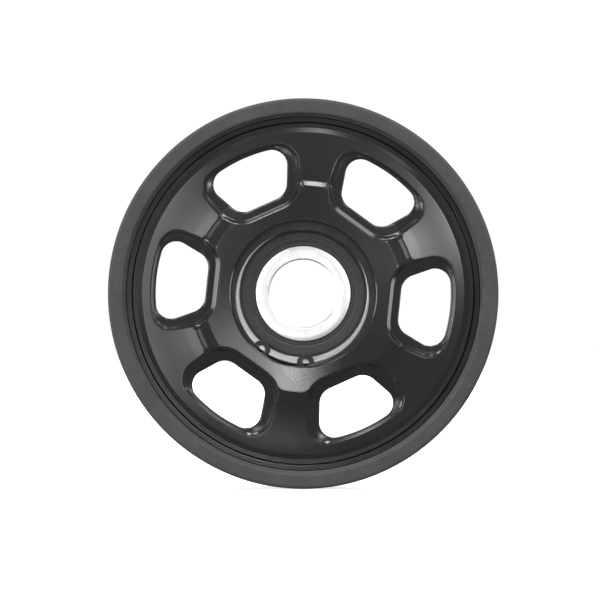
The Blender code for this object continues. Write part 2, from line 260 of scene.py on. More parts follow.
def distance_to(line, points):
    """Distance of each point from an open polyline."""
    line, points = np.array(line), np.array(points)
    best = np.full(len(points), np.inf)
    for start, end in zip(line, line[1:]):
        along = end - start
        share = np.clip((points - start) @ along / (along @ along), 0, 1)
        best = np.minimum(best, np.linalg.norm(points - start - share[:, None] * along, axis=1))
    return best


def inside(polygon, points):
    """Whether each point lies inside a polygon."""
    points = np.array(points)
    found = np.zeros(len(points), bool)
    for (x1, z1), (x2, z2) in zip(polygon, polygon[1:] + polygon[:1]):
        if z1 == z2:
            continue
        spans = (z1 > points[:, 1]) != (z2 > points[:, 1])
        crossing = x1 + (points[:, 1] - z1) * (x2 - x1) / (z2 - z1)
        found ^= spans & (points[:, 0] < crossing)
    return found


# ---------------------------------------------------------------- disc: half a sector


def half_window(hub=0.0, side=0.0, rim=0.0, flare=SPOKE_FLARE):
    """Half a window's outline, from the middle of its hub side round to the middle of its rim side.

    The spoke's centre line is at 0 degrees and the window's at 30. A margin moves that edge outwards.
    """
    inner = WINDOW_INNER - hub
    outer = WINDOW_OUTER + rim
    lean = HALF_SECTOR - flare
    on_side = Vector(rotated([(SPOKE_WIDTH_AT, side - SPOKE_HALF_WIDTH)], HALF_SECTOR)[0])
    along = Vector(polar(1.0, lean))
    inward = Vector(polar(1.0, lean - 90))

    radius = WINDOW_INNER_CORNER + hub
    offset_line = on_side + inward * radius
    centre = offset_line + along * (inner + radius - offset_line.x) / along.x
    inner_corner = arc(centre, radius, 180, 90 + lean, 14)

    radius = WINDOW_OUTER_CORNER + rim
    offset_line = on_side + inward * radius
    nearest = offset_line.dot(along)
    distance = math.sqrt((outer - radius) ** 2 - offset_line.length_squared + nearest**2) - nearest
    centre = offset_line + along * distance
    rim_start = math.degrees(math.atan2(centre.y, centre.x))
    outer_corner = arc(centre, radius, 90 + lean, rim_start, 14)

    outline = straight((inner, 0.0), inner_corner[0], 12)[:-1]
    outline += inner_corner
    outline += straight(inner_corner[-1], outer_corner[0], 22)[1:-1]
    outline += outer_corner
    outline += arc((0, 0), outer, rim_start, 0, 18)[1:]
    return rotated([(x, -z) for x, z in outline], HALF_SECTOR)


def whole_window(half):
    """The closed outline whose first half is given."""
    flat = rotated(half, -HALF_SECTOR)
    return half + rotated([(x, -z) for x, z in reversed(flat)], HALF_SECTOR)


FRONT_PROFILE = densified(
    rounded(
        [
            (SEAT_RADIUS, HUB_FRONT + SEAT_EDGE, 0),
            (SEAT_RADIUS + SEAT_EDGE, HUB_FRONT, 0.4),
            (35.5, -10.52, 0.35),
            (39.0, -9.68, 1.2),
            (40.7, -8.51, 1.5),
            (44.2, -8.05, 80.0),
            (49.5, -7.57, 340.0),
            (55.5, -7.12, 300.0),
            (58.3, -6.9, 1.0),
            (60.1, -6.13, 0.25),
            (61.6, -6.18, 0.3),
            (62.1, -4.65, 0.3),
            (BARREL_RADIUS, BARREL_FRONT, 0),
        ],
        step=4.5,
    ),
    FRONT_SPACING,
)
BACK_PROFILE = densified(
    rounded(
        [
            (SEAT_SHOULDER_BORE + 0.5, HUB_REAR, 0),
            (31.05, HUB_REAR, 0.5),
            (32.25, -5.95, 1.6),
            (59.3, -2.7, 1.3),
            (60.8, BARREL_REAR, 0.4),
            (BARREL_RADIUS, BARREL_REAR, 0),
        ]
    ),
    BACK_SPACING,
)


def shoulder(share):
    """Step down to the margin, 0 on the plateau and 1 on the margin: a slope with rounded ends."""
    share = np.clip(share, 0, 1)
    steepness = 1 / (1 - (SHOULDER_TOP + SHOULDER_FOOT) / 2)
    top = steepness * share**2 / (2 * SHOULDER_TOP)
    slope = steepness * (share - SHOULDER_TOP / 2)
    foot = 1 - steepness * (1 - share) ** 2 / (2 * SHOULDER_FOOT)
    return np.where(share < SHOULDER_TOP, top, np.where(share < 1 - SHOULDER_FOOT, slope, foot))


def shoulder_line(share):
    """Half outline along the step round a window, at a share of its width from the plateau."""
    width = SHOULDER_WIDTH * share
    rim = MARGIN_RIM_SIDE - RIM_SHOULDER_WIDTH * share
    return half_window(MARGIN_HUB_SIDE - width, MARGIN_SPOKE_SIDE - width, rim, MARGIN_FLARE)


def roll_off(edge, radius):
    """Depth by which a face rounds over at a distance from a window's edge."""
    short = radius - np.clip(edge, 0, radius)
    return radius - np.sqrt(radius**2 - short**2)


def front_levels(points):
    """y of the disc's front face at points of the half sector."""
    points = np.array(points)
    radius = np.hypot(points[:, 0], points[:, 1])
    crown = np.interp(radius, *zip(*FRONT_PROFILE))
    top, foot = shoulder_line(0), shoulder_line(1)
    from_top, from_foot = distance_to(top, points), distance_to(foot, points)
    share = np.where(inside(whole_window(top), points), from_top / (from_top + from_foot), 0.0)
    on_margin = inside(whole_window(foot), points)
    share = np.where(on_margin, 1.0, share)
    margin = np.interp(radius, *zip(*MARGIN_LEVELS)) + np.where(on_margin, MARGIN_FALL * from_foot, 0.0)
    level = crown + np.maximum(margin - crown, 0) * shoulder(share)
    return level + roll_off(distance_to(half_window(), points), FRONT_ROLL)


def back_levels(points):
    """y of the disc's back face, without its ribs."""
    points = np.array(points)
    level = np.interp(np.hypot(points[:, 0], points[:, 1]), *zip(*BACK_PROFILE))
    return level - roll_off(distance_to(half_window(), points), BACK_ROLL)


def rib_radii():
    """Radii at which the rib's foot is divided. At both ends the wall behind it is as high as the rib."""
    radii, levels = np.array(BACK_PROFILE).T
    sleeve, barrel = radii < 40, radii > 50
    start = np.interp(RIB_TOP, levels[sleeve][::-1], radii[sleeve][::-1])
    falling = barrel & (levels > levels.min() - 1)
    end = np.interp(RIB_TOP, levels[falling], radii[falling])
    between = radii[(radii > start + 0.02) & (radii < end - 0.02)]
    return [start, *between, end]


def rib_line(offset):
    """Points of a line along the rib, at an offset from its middle."""
    flare = math.tan(math.radians(SPOKE_FLARE))
    base = RIB_CENTRE + offset / math.cos(math.radians(SPOKE_FLARE)) - SPOKE_WIDTH_AT * flare
    points = []
    for radius in rib_radii():
        half = base * flare
        along = (math.sqrt(half**2 - (1 + flare**2) * (base**2 - radius**2)) - half) / (1 + flare**2)
        points.append((along, base + along * flare))
    return points


def on_window_line(point):
    """Whether a point lies on the window's centre line."""
    return math.degrees(math.atan2(point[1], point[0])) > HALF_SECTOR - 1e-4


def triangulated(profile, rows, footprint=None):
    """Triangles of the half sector, following rings at the profile's radii, and the rows.

    The window is left empty, and so is a footprint, which is a closed outline.
    """
    radii = [radius for radius, _ in profile]
    window = half_window()
    on_line = [r for r in radii if not WINDOW_INNER - NEAR_WINDOW < r < WINDOW_OUTER + NEAR_WINDOW]
    on_line += [math.hypot(*point) for row in rows for point in (row[0], row[-1]) if on_window_line(point)]
    hub_side = sorted(r for r in on_line if radii[0] + TINY < r < WINDOW_INNER - TINY)
    rim_side = sorted(r for r in on_line if WINDOW_OUTER + TINY < r < radii[-1] - TINY)
    border = [(r, 0.0) for r in radii]
    border += arc((0, 0), radii[-1], 0, HALF_SECTOR, HALF_SECTOR)[1:]
    border += [polar(r, HALF_SECTOR) for r in reversed(rim_side)]
    border += window[::-1]
    border += [polar(r, HALF_SECTOR) for r in reversed(hub_side)]
    border += arc((0, 0), radii[0], HALF_SECTOR, 0, HALF_SECTOR)[:-1]

    points = list(border)
    edges = []
    lines = rows + ([footprint + footprint[:1]] if footprint else [])
    for line in lines:
        chain = []
        for point in line:
            if on_window_line(point):
                chain.append(min(range(len(border)), key=lambda k: math.dist(border[k], point)))
            else:
                chain.append(len(points))
                points.append(point)
        edges += zip(chain, chain[1:])

    grid = np.array([polar(r, degrees) for r in radii[1:-1] for degrees in range(1, HALF_SECTOR)])
    keep = inside(border, grid) & (distance_to(window, grid) > CLEAR_OF_WINDOW)
    for line in lines:
        keep &= distance_to(line, grid) > CLEAR_OF_ROWS
    if footprint:
        keep &= ~inside(footprint, grid)
    points += [tuple(p) for p in grid[keep]]

    made = delaunay_2d_cdt([Vector(p) for p in points], edges, [list(range(len(border)))], 1, 1e-5)
    flat = np.array([tuple(v) for v in made[0]])
    faces = np.array([tuple(f) for f in made[2]])
    middle = flat[faces].mean(axis=1)
    wanted = inside(border, middle)
    if footprint:
        wanted &= ~inside(footprint, middle)
    return flat, faces[wanted]


def with_levels(flat, levels):
    """Points of the wheel from plane points and their y."""
    return np.column_stack((flat[:, 0], levels, flat[:, 1]))


def strip(rows):
    """Vertices and faces of the quads between neighbouring rows of points."""
    count = len(rows[0])
    faces = []
    for k in range(len(rows) - 1):
        for i in range(count - 1):
            near, far = k * count + i, (k + 1) * count + i
            faces.append((near, near + 1, far + 1))
            faces.append((near, far + 1, far))
    return np.vstack([np.array(row) for row in rows]), np.array(faces)


def ring_rows(section):
    """Rows of points at one degree spacing over the half sector, for each (radius, y)."""
    rows = []
    for radius, y in section:
        ring = arc((0, 0), radius, 0, HALF_SECTOR, HALF_SECTOR)
        rows.append([(x, y, z) for x, z in ring])
    return rows


def front_skin():
    """Front face, with rows along the window's rounded edge and along the step round its margin."""
    shares = (-0.25, -0.08, 0, 0.08, 0.17, 0.27, 0.38, 0.5, 0.62, 0.74, 0.85, 0.93, 1)
    rows = [half_window(e, e, e) for e in (0.05, 0.14, 0.27, 0.42)]
    rows += [shoulder_line(share) for share in shares]
    flat, faces = triangulated(FRONT_PROFILE, rows)
    return with_levels(flat, front_levels(flat)), faces


def back_skin():
    """Back face, with the rib's footprint left empty."""
    rows = [half_window(e, e, e) for e in (0.05, 0.14, 0.28, 0.45)]
    near, far = rib_line(-RIB_HALF_THICKNESS), rib_line(RIB_HALF_THICKNESS)
    flat, faces = triangulated(BACK_PROFILE, rows, near + far[::-1])
    return with_levels(flat, back_levels(flat)), faces


def rib_shell():
    """Side walls and top of the rib, standing on its footprint in the back face."""
    parts = []
    tops = []
    across = Vector(polar(1.0, 90 + SPOKE_FLARE))
    for side in (-1, 1):
        foot = rib_line(side * RIB_HALF_THICKNESS)
        levels = back_levels(foot)
        rows = []
        for step in range(WALL_ROWS + ROUND_ROWS):
            row = []
            for (x, z), level in zip(foot, levels):
                height = max(RIB_TOP - level, 0.0)
                rounding = min(RIB_ROUND, height / 2)
                if step < WALL_ROWS:
                    up = (height - rounding) * step / (WALL_ROWS - 1)
                    inset = RIB_DRAFT * up
                else:
                    swing = math.radians(90 * (step - WALL_ROWS + 1) / ROUND_ROWS)
                    up = height - rounding * (1 - math.sin(swing))
                    inset = RIB_DRAFT * (height - rounding) + rounding * (1 - math.cos(swing))
                inset *= -side
                row.append((x + across.x * inset, level + up, z + across.y * inset))
            rows.append(row)
        parts.append(strip(rows))
        tops.append(rows[-1])
    parts.append(strip(tops))
    return parts


def window_wall():
    """Half the wall of a window, between the front and back faces."""
    outline = half_window()
    front, back = front_levels(outline), back_levels(outline)
    rows = []
    for share in np.linspace(0, 1, 5):
        levels = front * (1 - share) + back * share
        rows.append([(x, y, z) for (x, z), y in zip(outline, levels)])
    return strip(rows)


def seat_and_barrel():
    """The bearing's seat with its circlip groove, and the barrel with the key that holds the tyre."""
    seat = rounded(
        [
            (SEAT_RADIUS, HUB_FRONT + SEAT_EDGE, 0),
            (SEAT_RADIUS, CLIP_GROOVE_FRONT, 0),
            (CLIP_GROOVE_RADIUS, CLIP_GROOVE_FRONT, 0),
            (CLIP_GROOVE_RADIUS, CLIP_GROOVE_REAR, 0),
            (SEAT_RADIUS, CLIP_GROOVE_REAR, 0),
            (SEAT_RADIUS, SEAT_SHOULDER, 0),
            (SEAT_SHOULDER_BORE, SEAT_SHOULDER, 0),
            (SEAT_SHOULDER_BORE, HUB_REAR, 0.3),
            (SEAT_SHOULDER_BORE + 0.5, HUB_REAR, 0),
        ]
    )
    barrel = [
        (BARREL_RADIUS, BARREL_FRONT),
        (BARREL_RADIUS, -KEY_HALF_WIDTH),
        (KEY_RADIUS, -KEY_HALF_WIDTH),
        (KEY_RADIUS, KEY_HALF_WIDTH),
        (BARREL_RADIUS, KEY_HALF_WIDTH),
        (BARREL_RADIUS, BARREL_REAR),
    ]
    return [strip(ring_rows(seat)), strip(ring_rows(barrel))]


def make_disc():
    """Half a sector of skin, mirrored and repeated round the wheel, and merged into one closed surface."""
    parts = [front_skin(), back_skin(), window_wall()] + rib_shell() + seat_and_barrel()
    vertices, faces = [], []
    total = 0
    for k in range(SPOKES):
        cosine, sine = polar(1.0, FIRST_SPOKE + k * 360 / SPOKES)
        for side in (1, -1):
            for points, triangles in parts:
                x, y, z = points[:, 0], points[:, 1], side * points[:, 2]
                vertices.append(np.column_stack((x * cosine - z * sine, y, x * sine + z * cosine)))
                faces.append(triangles[:, ::side] + total)
                total += len(points)
    return mesh_object("disc_moulding", np.vstack(vertices), np.vstack(faces).tolist())


# ---------------------------------------------------------------- objects


def mesh_object(name, vertices, faces):
    """Object from vertices in millimetres, merged, facing outwards and shaded smooth."""
    mesh = bpy.data.meshes.new(name)
    mesh.from_pydata((np.array(vertices) * MM).tolist(), [], faces)
    shape = bmesh.new()
    shape.from_mesh(mesh)
    bmesh.ops.remove_doubles(shape, verts=shape.verts, dist=MERGE * MM)
    bmesh.ops.recalc_face_normals(shape, faces=shape.faces)
    shape.to_mesh(mesh)
    shape.free()
    mesh.shade_smooth()
    mesh.set_sharp_from_angle(angle=math.radians(SHARP_ANGLE))
    obj = bpy.data.objects.new(name, mesh)
    bpy.context.scene.collection.objects.link(obj)
    return obj


def turned_piece(name, section):
    """Solid of revolution from the closed (radius, y) section."""
    radii, levels = np.array(section).T
    count = len(section)
    vertices = []
    for angle in np.linspace(0, TURN, TURNED_STEPS, endpoint=False):
        vertices.append(np.column_stack((radii * math.cos(angle), levels, radii * math.sin(angle))))
    faces = []
    for k in range(TURNED_STEPS):
        near, far = k * count, (k + 1) % TURNED_STEPS * count
        for i in range(count):
            j = (i + 1) % count
            faces.append((near + i, near + j, far + j, far + i))
    return mesh_object(name, np.vstack(vertices), faces)


def make_tyre():
    """Rubber band with a relieved mouth in front, rounded shoulders and the mould's seam round its tread."""
    seam_radius = WHEEL_RADIUS + SEAM_HEIGHT
    seam_edge = SEAM_HALF_WIDTH / 3
    key = KEY_HALF_WIDTH + MOULD_GAP
    key_radius = KEY_RADIUS + MOULD_GAP
    section = rounded(
        [
            (TYRE_MOUTH, TYRE_FRONT, 0.9),
            (WHEEL_RADIUS, TYRE_FRONT, 1.25),
            (WHEEL_RADIUS, -SEAM_HALF_WIDTH, 0.1),
            (seam_radius, -seam_edge, 0.06),
            (seam_radius, seam_edge, 0.06),
            (WHEEL_RADIUS, SEAM_HALF_WIDTH, 0.1),
            (WHEEL_RADIUS, TYRE_REAR, 1.25),
            (TYRE_BORE, TYRE_REAR, 0.9),
            (TYRE_BORE, key, 0),
            (key_radius, key, 0),
            (key_radius, -key, 0),
            (TYRE_BORE, -key, 0),
            (TYRE_BORE, TYRE_BOND_FRONT, 0),
            (TYRE_MOUTH, TYRE_MOUTH_FLOOR, 0.2),
        ],
        closed=True,
    )
    return turned_piece("tyre_band", densified(section + section[:1], TYRE_SPACING)[:-1])


def race(land, outward):
    """Half a raceway, from its land to its deepest point on the mid plane."""
    start = math.degrees(math.asin(abs(land - PITCH_RADIUS) / RACE_RADIUS))
    points = []
    for degrees in np.linspace(start, 90, 9):
        angle = math.radians(degrees)
        radius = PITCH_RADIUS + outward * RACE_RADIUS * math.sin(angle)
        points.append((radius, -RACE_RADIUS * math.cos(angle)))
    return points


def in_wheel(points):
    """A section about the bearing's own mid plane, moved to its place along the wheel's axis."""
    return [(radius, y + BEARING_CENTRE) for radius, y in points]


def mirrored(points):
    """A half section about the mid plane, made whole."""
    return points + [(radius, -y) for radius, y in reversed(points) if abs(y) > 1e-9]


def make_outer_ring():
    """Outer ring with its raceway and a groove for each seal's rim."""
    half = BEARING_HALF_WIDTH
    front = rounded(
        [
            (BEARING_OUTER, 0, 0),
            (BEARING_OUTER, -half, 0.9),
            (23.1, -half, 0.2),
            (23.1, -half + 0.55, 0.15),
            (23.65, -half + 0.8, 0.1),
            (23.65, -half + 1.75, 0.2),
            (OUTER_LAND, -half + 1.75, 0.15),
            (*race(OUTER_LAND, 1)[0], 0),
        ]
    )
    return turned_piece("outer_ring", in_wheel(mirrored(front + race(OUTER_LAND, 1)[1:])))


def make_inner_ring():
    """Inner ring with its raceway, a fine step on its face and a groove for each seal's lip."""
    half = BEARING_HALF_WIDTH
    front = rounded(
        [
            (BEARING_BORE, 0, 0),
            (BEARING_BORE, -half, 0.35),
            (RING_STEP, -half, 0.15),
            (INNER_LAND, -half + RING_STEP_DEPTH, 0.2),
            (INNER_LAND, -half + 0.6, 0.1),
            (16.7, -half + 0.85, 0.15),
            (16.7, -half + 1.75, 0.15),
            (INNER_LAND, -half + 2.0, 0.1),
            (*race(INNER_LAND, -1)[0], 0),
        ]
    )
    return turned_piece("inner_ring_turned", in_wheel(mirrored(front + race(INNER_LAND, -1)[1:])))


def make_seal(name, side):
    """Moulded rubber seal: snap-in rim, flat band between two shallow grooves, and lip."""
    section = rounded(
        [
            (16.95, -6.0, 0.1),
            (17.45, -7.0, 0.15),
            (18.5, -6.95, 0.2),
            (18.85, -6.75, 0.2),
            (19.2, -7.15, 0.25),
            (22.1, -7.15, 0.25),
            (22.5, -6.85, 0.2),
            (23.1, -6.85, 0.25),
            (23.45, -6.5, 0.15),
            (23.45, -5.95, 0.1),
            (22.6, -5.95, 0),
            (22.6, -6.55, 0),
            (17.7, -6.55, 0),
            (17.7, -6.0, 0),
        ],
        closed=True,
    )
    return turned_piece(name, in_wheel([(radius, -side * y) for radius, y in section]))


def clip_inner_radius(degrees):
    """Inner edge of the circlip: an off-centre circle, and the round lugs beside the gap."""
    from_gap = (degrees - CLIP_GAP_ANGLE + 180) % 360 - 180
    radius = CLIP_INNER_MEAN + CLIP_OFFSET * math.cos(math.radians(from_gap))
    swing = math.radians(abs(from_gap) - CLIP_LUG_ANGLE)
    across = CLIP_LUG_HOLE_AT * math.sin(swing)
    if abs(across) < CLIP_LUG_RADIUS:
        inward = math.sqrt(CLIP_LUG_RADIUS**2 - across**2)
        radius = min(radius, CLIP_LUG_HOLE_AT * math.cos(swing) - inward)
    return radius


def clip_outline():
    """The circlip's outline: its outer edge from one side of the gap to the other, and back inside."""
    lug_half = math.degrees(math.asin(CLIP_LUG_RADIUS / CLIP_LUG_HOLE_AT)) - 0.02
    gap_half = CLIP_LUG_ANGLE - lug_half
    lug_end = CLIP_LUG_ANGLE + lug_half
    lug = [gap_half + lug_half * (1 - math.cos(math.pi * i / 24)) for i in range(25)]
    body = list(np.linspace(lug_end + 0.1, 359.9 - lug_end, 160))
    inner_angles = lug + body + [360 - angle for angle in reversed(lug)]
    outer_angles = np.linspace(gap_half, 360 - gap_half, 200)
    outer = [polar(CLIP_OUTER, CLIP_GAP_ANGLE + angle) for angle in outer_angles]
    inner = []
    for angle in inner_angles:
        degrees = CLIP_GAP_ANGLE + angle
        inner.append(polar(clip_inner_radius(degrees), degrees))
    return outer + inner[::-1]


def prism(name, outlines, front, rear):
    """Plates with the given outlines, between two y."""
    vertices, faces = [], []
    for outline in outlines:
        base, count = len(vertices), len(outline)
        vertices += [(x, front, z) for x, z in outline]
        vertices += [(x, rear, z) for x, z in outline]
        faces.append(list(range(base, base + count)))
        faces.append(list(range(base + 2 * count - 1, base + count - 1, -1)))
        for i in range(count):
            j = (i + 1) % count
            faces.append((base + j, base + i, base + count + i, base + count + j))
    return mesh_object(name, vertices, faces)


def apply_modifiers(obj):
    """Replace the object's mesh by what its modifiers make of it."""
    graph = bpy.context.evaluated_depsgraph_get()
    mesh = bpy.data.meshes.new_from_object(obj.evaluated_get(graph))
    obj.modifiers.clear()
    obj.data = mesh


def border_flat_faces(obj, width):
    """Narrow border of faces inside the front and rear faces, which keeps their middle flat in shading."""
    shape = bmesh.new()
    shape.from_mesh(obj.data)
    flat = [face for face in shape.faces if abs(face.normal.y) > 0.999]
    bmesh.ops.inset_region(shape, faces=flat, thickness=width * MM, use_even_offset=True, use_boundary=True)
    shape.to_mesh(obj.data)
    shape.free()


def make_circlip():
    """Stamped spring-steel ring with two plier lugs and softly broken edges."""
    clip = prism("circlip_stamping", [clip_outline()], CLIP_FRONT, CLIP_REAR)
    holes = []
    for side in (-1, 1):
        centre = polar(CLIP_LUG_HOLE_AT, CLIP_GAP_ANGLE + side * CLIP_LUG_ANGLE)
        holes.append(arc(centre, CLIP_HOLE_RADIUS, 0, 352.5, 47))
    cutter = prism("clip_hole_cutter", holes, CLIP_FRONT - 1, CLIP_REAR + 1)
    cut = clip.modifiers.new("holes", "BOOLEAN")
    cut.operation = "DIFFERENCE"
    cut.object = cutter
    soften = clip.modifiers.new("edges", "BEVEL")
    soften.width = CLIP_EDGE * MM
    soften.segments = 3
    soften.limit_method = "ANGLE"
    soften.angle_limit = math.radians(50)
    bpy.context.view_layer.update()
    apply_modifiers(clip)
    bpy.data.objects.remove(cutter, do_unlink=True)
    border_flat_faces(clip, CLIP_BORDER)
    return clip


# ---------------------------------------------------------------- materials


class Finish:
    """A material built node by node. Socket values are set directly; only varying ones are linked."""

    def __init__(self, name, **values):
        self.material = bpy.data.materials.new(name)
        self.material.use_nodes = True
        self.tree = self.material.node_tree
        self.shader = self.tree.nodes["Principled BSDF"]
        for socket, value in values.items():
            self.shader.inputs[socket.replace("_", " ")].default_value = value
        self.place = self.node("ShaderNodeTexCoord").outputs["Object"]

    def node(self, kind, **settings):
        made = self.tree.nodes.new(kind)
        for key, value in settings.items():
            setattr(made, key, value)
        return made

    def link(self, source, node, socket):
        self.tree.links.new(source, node.inputs[socket])

    def noise(self, scale, detail=3.0, roughness=0.55):
        made = self.node("ShaderNodeTexNoise")
        made.inputs["Scale"].default_value = scale
        made.inputs["Detail"].default_value = detail
        made.inputs["Roughness"].default_value = roughness
        self.link(self.place, made, "Vector")
        return made.outputs["Fac"]

    def spread(self, source, low, high, start=0.3, end=0.7):
        """source, which runs from start to end, mapped to low to high."""
        made = self.node("ShaderNodeMapRange")
        self.link(source, made, "Value")
        for socket, value in (("From Min", start), ("From Max", end), ("To Min", low), ("To Max", high)):
            made.inputs[socket].default_value = value
        return made.outputs["Result"]

    def math(self, operation, first, second=None):
        made = self.node("ShaderNodeMath", operation=operation)
        for i, source in enumerate((first, second)):
            if source is None:
                continue
            if isinstance(source, (int, float)):
                made.inputs[i].default_value = source
            else:
                self.tree.links.new(source, made.inputs[i])
        return made.outputs["Value"]

    def mix(self, factor, first, second):
        """Colour between first and second, each an (r, g, b) or a socket."""
        made = self.node("ShaderNodeMix", data_type="RGBA")
        self.tree.links.new(factor, made.inputs[0])
        for i, source in ((6, first), (7, second)):
            if isinstance(source, tuple):
                made.inputs[i].default_value = (*source, 1.0)
            else:
                self.tree.links.new(source, made.inputs[i])
        return made.outputs[2]

    def radius(self):
        """Distance from the wheel's axis, in metres."""
        parts = self.node("ShaderNodeSeparateXYZ")
        self.link(self.place, parts, "Vector")
        x, z = parts.outputs["X"], parts.outputs["Z"]
        return self.math("SQRT", self.math("ADD", self.math("MULTIPLY", x, x), self.math("MULTIPLY", z, z)))

    def turning_marks(self, scale):
        """Noise that varies with the radius only, as a lathe or grinding wheel leaves it."""
        made = self.node("ShaderNodeTexNoise", noise_dimensions="1D")
        made.inputs["Scale"].default_value = scale
        made.inputs["Detail"].default_value = 4.0
        self.link(self.radius(), made, "W")
        return made.outputs["Fac"]

    def convex_edges(self, start=0.53, end=0.62):
        """1 on convex edges, 0 on flat and hollow places."""
        return self.spread(self.node("ShaderNodeNewGeometry").outputs["Pointiness"], 0.0, 1.0, start, end)

    def bump(self, height, strength, distance, below=None):
        made = self.node("ShaderNodeBump")
        made.inputs["Strength"].default_value = strength
        made.inputs["Distance"].default_value = distance
        self.link(height, made, "Height")
        if below:
            self.link(below, made, "Normal")
        return made.outputs["Normal"]

    def finish(self, colour, roughness, normal):
        self.link(colour, self.shader, "Base Color")
        self.link(roughness, self.shader, "Roughness")
        self.link(normal, self.shader, "Normal")
        return self.material


def nylon():
    """Semi-gloss black nylon: soft flow clouds, a fine moulded grain, edges rubbed slightly paler."""
    f = Finish("black_moulded_nylon", Metallic=0.0, IOR=1.5)
    flow = f.noise(38.0, 2.0, 0.4)
    grain = f.noise(2200.0, 3.0, 0.6)
    base = f.mix(f.spread(flow, 0.0, 1.0), (0.012, 0.012, 0.013), (0.017, 0.017, 0.018))
    worn = f.mix(f.math("MULTIPLY", f.convex_edges(), 0.35), base, (0.06, 0.06, 0.062))
    roughness = f.math("ADD", f.spread(flow, 0.165, 0.19), f.spread(grain, 0.0, 0.02))
    return f.finish(worn, roughness, f.bump(grain, 0.08, 0.00003, f.bump(flow, 0.05, 0.0003)))


def tyre_rubber():
    """Matt grey-black rubber with a mottled bloom and a fine pebbled skin."""
    f = Finish("tyre_rubber", Metallic=0.0, IOR=1.45)
    bloom = f.noise(90.0, 5.0, 0.65)
    pebble = f.noise(1100.0, 4.0, 0.65)
    base = f.mix(f.spread(bloom, 0.0, 1.0), (0.058, 0.058, 0.059), (0.088, 0.088, 0.089))
    worn = f.mix(f.math("MULTIPLY", f.convex_edges(), 0.4), base, (0.12, 0.12, 0.12))
    speckled = f.mix(f.spread(pebble, 0.0, 0.35, 0.55, 0.75), worn, (0.14, 0.14, 0.142))
    normal = f.bump(pebble, 0.35, 0.00008, f.bump(bloom, 0.15, 0.0004))
    return f.finish(speckled, f.spread(bloom, 0.72, 0.9), normal)


def ground_steel(name, colour, low, high):
    """Bearing steel ground in circles."""
    f = Finish(name, Metallic=1.0)
    marks = f.turning_marks(9000.0)
    stain = f.noise(220.0, 4.0)
    dull = tuple(0.93 * c for c in colour)
    base = f.mix(f.spread(stain, 0.0, 1.0), dull, colour)
    roughness = f.math("ADD", f.spread(marks, low, high), f.spread(stain, 0.0, 0.06))
    return f.finish(base, roughness, f.bump(marks, 0.12, 0.00002))


def phosphated_steel():
    """Black phosphated spring steel, crystalline and matt, rubbed to metal on its edges."""
    f = Finish("phosphated_spring_steel", Metallic=0.55)
    crystals = f.noise(2400.0, 3.0, 0.6)
    cloud = f.noise(150.0, 4.0)
    base = f.mix(f.spread(cloud, 0.0, 1.0), (0.028, 0.028, 0.031), (0.05, 0.05, 0.053))
    worn = f.mix(f.math("MULTIPLY", f.convex_edges(), 0.45), base, (0.30, 0.30, 0.31))
    return f.finish(worn, f.spread(crystals, 0.40, 0.58), f.bump(crystals, 0.2, 0.00002))


def seal_rubber():
    """Matt nitrile rubber with faint rings from its mould."""
    f = Finish("seal_rubber", Metallic=0.0, IOR=1.45)
    rings = f.turning_marks(2600.0)
    dust = f.noise(900.0, 5.0, 0.7)
    base = f.mix(f.spread(dust, 0.0, 1.0), (0.042, 0.042, 0.044), (0.062, 0.062, 0.064))
    normal = f.bump(dust, 0.2, 0.00003, f.bump(rings, 0.15, 0.00004))
    return f.finish(base, f.spread(rings, 0.5, 0.68), normal)


def sheet_steel():
    """Cold-rolled sheet, grained and lightly stained."""
    f = Finish("pressed_sheet_steel", Metallic=1.0)
    grain = f.noise(1800.0, 4.0, 0.7)
    stain = f.noise(200.0, 3.0)
    base = f.mix(f.spread(stain, 0.0, 1.0), (0.48, 0.48, 0.49), (0.62, 0.62, 0.63))
    return f.finish(base, f.spread(grain, 0.30, 0.46), f.bump(grain, 0.15, 0.00002))


def ball_steel():
    """Lapped bearing steel with a trace of grease."""
    f = Finish("polished_ball_steel", Metallic=1.0)
    smear = f.noise(500.0, 3.0)
    base = f.mix(f.spread(smear, 0.0, 1.0), (0.78, 0.78, 0.80), (0.86, 0.86, 0.88))
    return f.finish(base, f.spread(smear, 0.05, 0.12), f.bump(smear, 0.05, 0.00001))


# ---------------------------------------------------------------- stage, lights, camera


def make_floor():
    """Pale studio floor that the tread stands on."""
    shape = bmesh.new()
    bmesh.ops.create_circle(shape, cap_ends=True, radius=3.0, segments=96)
    mesh = bpy.data.meshes.new("studio_floor")
    shape.to_mesh(mesh)
    shape.free()
    floor = bpy.data.objects.new("studio_floor", mesh)
    floor.location.z = -WHEEL_RADIUS * MM - FLOOR_GAP
    floor.visible_diffuse = False
    floor.visible_glossy = False
    bpy.context.scene.collection.objects.link(floor)
    f = Finish("studio_floor", Roughness=0.9, Specular_IOR_Level=0.0)
    f.shader.inputs["Base Color"].default_value = (0.85, 0.85, 0.85, 1.0)
    f.shader.inputs["Emission Color"].default_value = (1.0, 1.0, 1.0, 1.0)
    f.shader.inputs["Emission Strength"].default_value = 0.75
    floor.data.materials.append(f.material)


